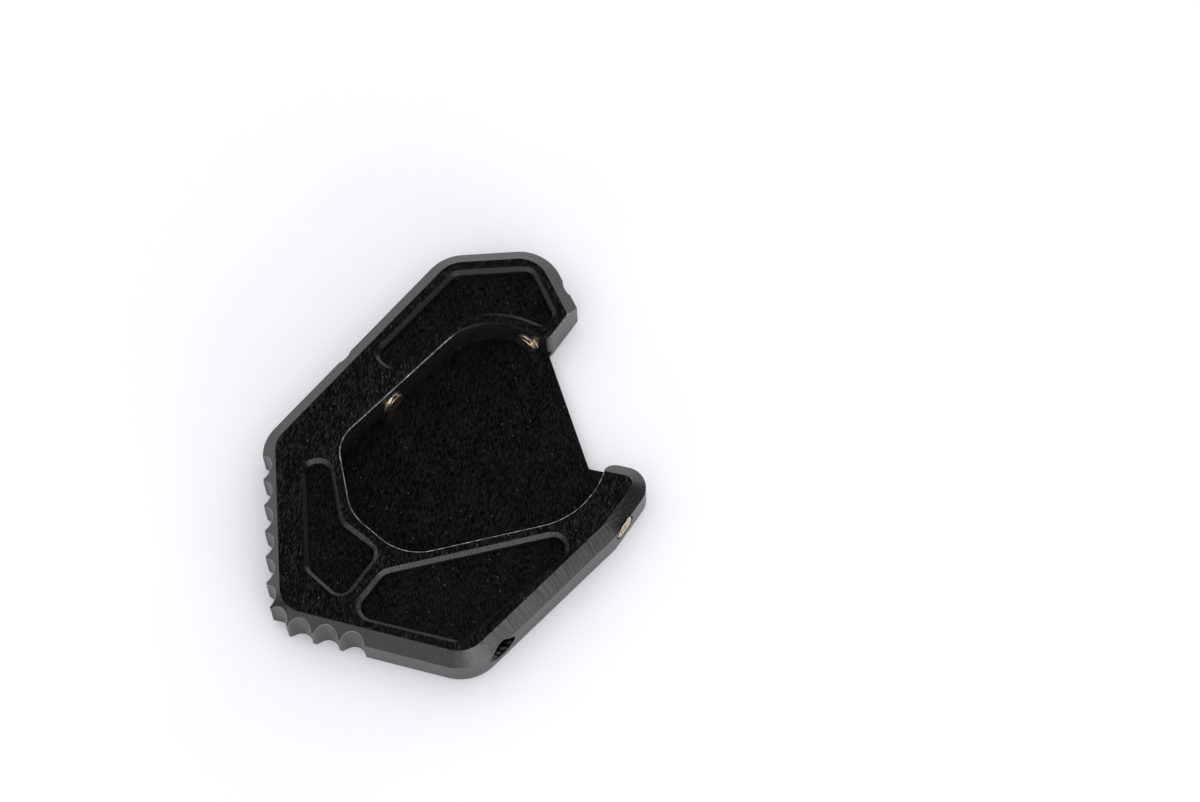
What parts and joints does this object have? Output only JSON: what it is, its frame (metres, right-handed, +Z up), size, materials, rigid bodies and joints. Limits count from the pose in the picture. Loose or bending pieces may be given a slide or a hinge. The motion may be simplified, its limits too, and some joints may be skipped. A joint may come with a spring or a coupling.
{
  "type": "kickstand foot enlarger",
  "caption": "Chamfered plate with an open-sided pocket that clamps round a motorbike stand's foot by grub screws, widening its footprint on soft ground; recessed top and fluted edge.",
  "frame": {"origin": "middle of the plate's bounding box, on its underside", "axes": "+Z up through the thickness, +Y along the longer side away from the fluted lower edge, +X from the fluted left edge towards the open side of the pocket"},
  "size_m": [0.083, 0.0966, 0.0115],
  "materials": {
    "plate": "satin black anodised, fine milling marks",
    "screws": "pale yellow plated"
  },
  "bodies": {
    "root": {"foot_plate": "plate", "grub_screws": "screws"}
  },
  "joints": []
}
